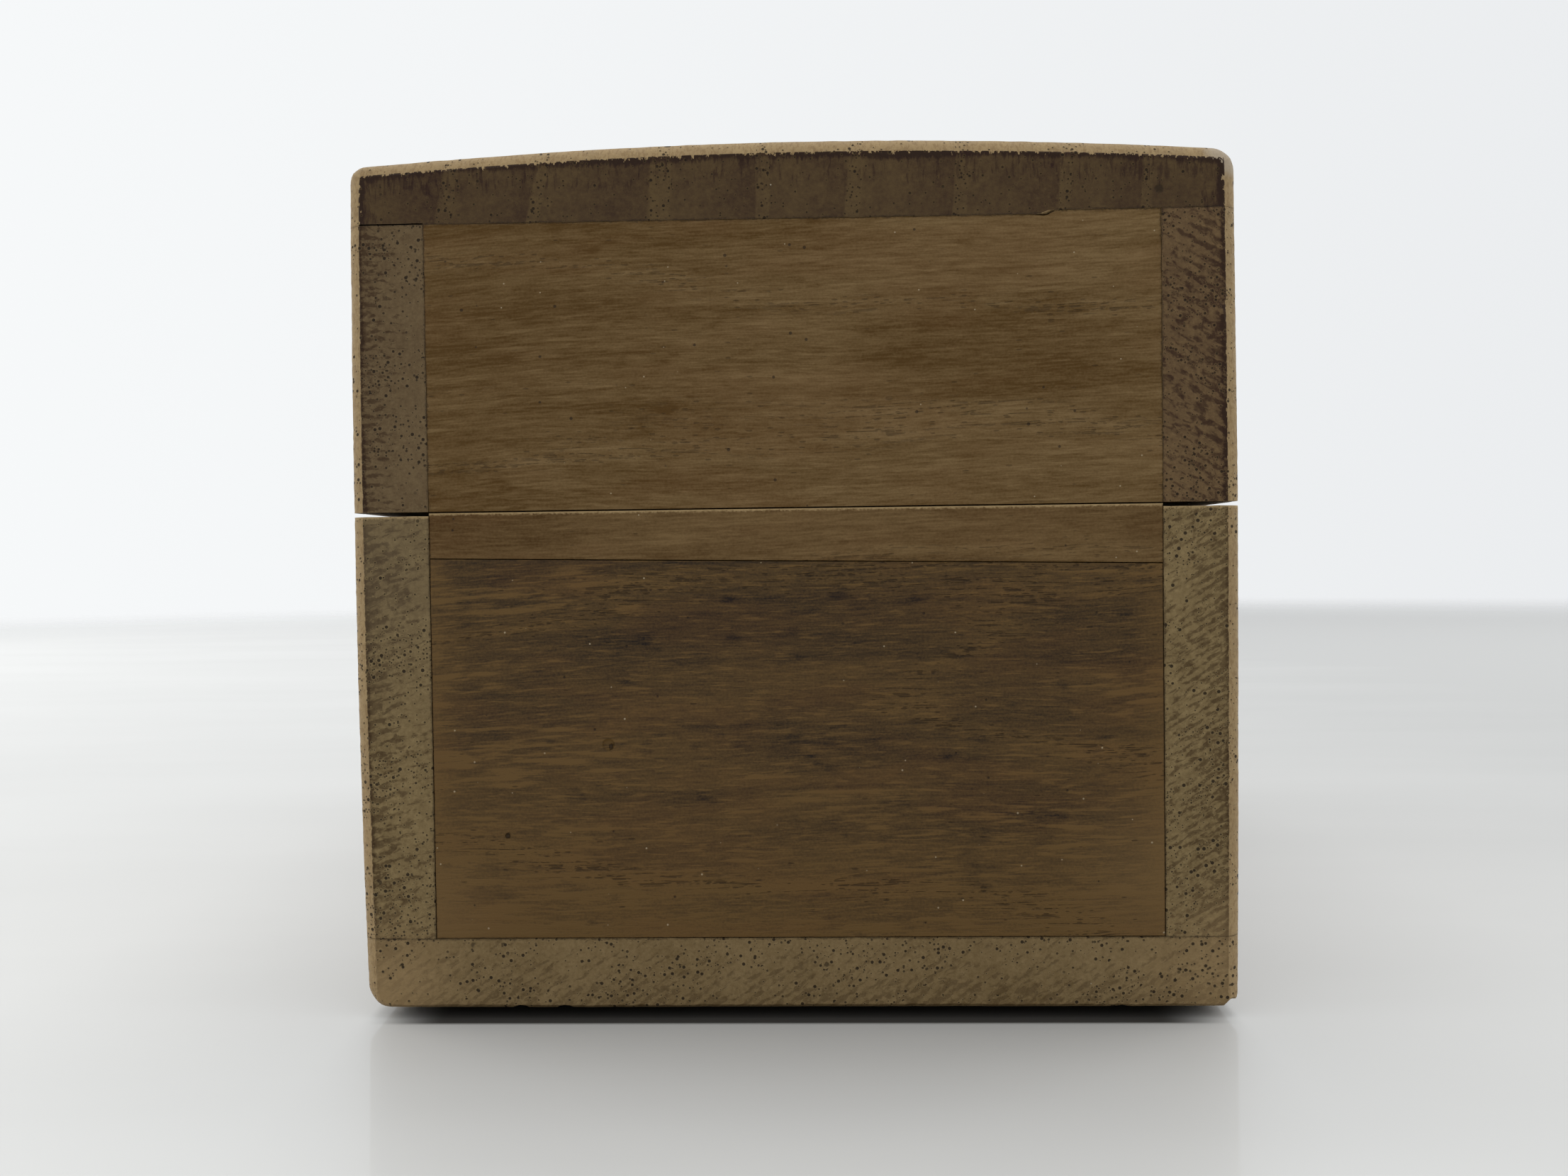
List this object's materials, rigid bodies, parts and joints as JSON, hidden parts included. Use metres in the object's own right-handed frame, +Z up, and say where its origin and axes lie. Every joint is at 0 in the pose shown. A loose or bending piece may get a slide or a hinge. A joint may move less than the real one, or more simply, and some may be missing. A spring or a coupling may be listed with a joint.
{
  "type": "wooden puzzle box",
  "caption": "Small rectangular wooden puzzle box: a deep crowned lid over a lipped tray, and a flush hidden drawer below that pushes out at either end.",
  "frame": {"origin": "under the middle of the box, on the surface that it stands on", "axes": "+Z up, the end shown in the picture faces -Y, +X to the right as seen from that end, length along Y"},
  "size_m": [0.0758, 0.12, 0.0748],
  "materials": {
    "lid_frame_wood": "dark grey-brown elm-like hardwood, open pores, worn pale at the edges, thin satin finish",
    "case_frame_wood": "olive-tan elm-like hardwood, open pores, worn pale at the edges, thin satin finish",
    "pale_panel_wood": "warm brown long-grain hardwood with fine streaks, satin",
    "dark_panel_wood": "dark brown long-grain hardwood with pale streaks, satin",
    "inside_wood": "plain unfinished inside wood, matt",
    "brass_pin": "turned brass, dulled",
    "peg_wood": "dark turned hardwood, waxed"
  },
  "bodies": {
    "case": {"bottom_board": "case_frame_wood", "case_side_left": "case_frame_wood", "case_side_right": "case_frame_wood", "end_rail_front": "pale_panel_wood", "end_rail_back": "pale_panel_wood", "tray_floor": "inside_wood", "lip_left": "inside_wood", "lip_right": "inside_wood", "lip_front": "inside_wood", "lip_back": "inside_wood", "lock_block": "inside_wood"},
    "lid": {"lid_top_board": "lid_frame_wood", "lid_side_left": "lid_frame_wood", "lid_side_right": "lid_frame_wood", "lid_end_front": "pale_panel_wood", "lid_end_back": "pale_panel_wood"},
    "drawer": {"drawer_front": "dark_panel_wood", "drawer_back": "dark_panel_wood", "drawer_side_left": "inside_wood", "drawer_side_right": "inside_wood", "drawer_floor": "inside_wood", "drawer_partition": "inside_wood"},
    "lid_lock": {"tilt_pin": "brass_pin"},
    "drawer_lock": {"drawer_peg": "peg_wood"}
  },
  "joints": [
    {"name": "lid_lift", "type": "slide", "parent": "case", "child": "lid", "axis": [0, 0, 1], "range_m": [0, 0.05]},
    {"name": "drawer_slide", "type": "slide", "parent": "case", "child": "drawer", "axis": [0, 1, 0], "range_m": [-0.075, 0.075]},
    {"name": "pin_slide", "type": "slide", "parent": "case", "child": "lid_lock", "axis": [0, -1, 0], "range_m": [0, 0.003]},
    {"name": "peg_push", "type": "slide", "parent": "case", "child": "drawer_lock", "axis": [0, 0, -1], "range_m": [0, 0.006]}
  ]
}
